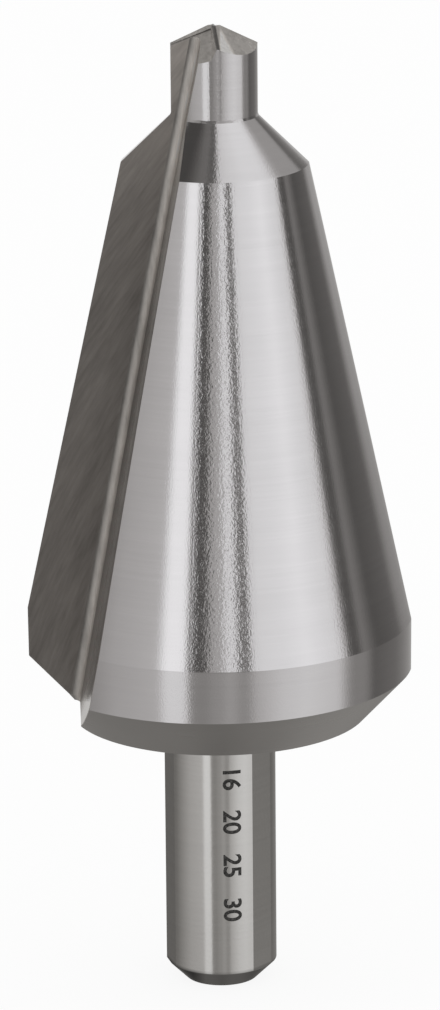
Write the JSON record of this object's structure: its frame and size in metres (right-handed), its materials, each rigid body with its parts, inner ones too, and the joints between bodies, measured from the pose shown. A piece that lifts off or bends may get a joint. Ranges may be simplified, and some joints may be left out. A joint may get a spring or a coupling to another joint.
{
  "type": "cone bit",
  "caption": "Tapered sheet-metal drill bit: a long cone with straight flutes, a split-point pilot and a short round shank with chuck flats.",
  "frame": {"origin": "centre of the flat end face of the shank, the face it stands on", "axes": "+Z along the bit's axis from the shank to the tip; the two cutting edges lie near +X and -X; -Y faces the camera of the picture"},
  "size_m": [0.0302, 0.0302, 0.0775],
  "materials": {
    "ground_steel": "ground bright, with fine grinding marks"
  },
  "bodies": {
    "root": {"cone_bit": "ground_steel"}
  },
  "joints": []
}
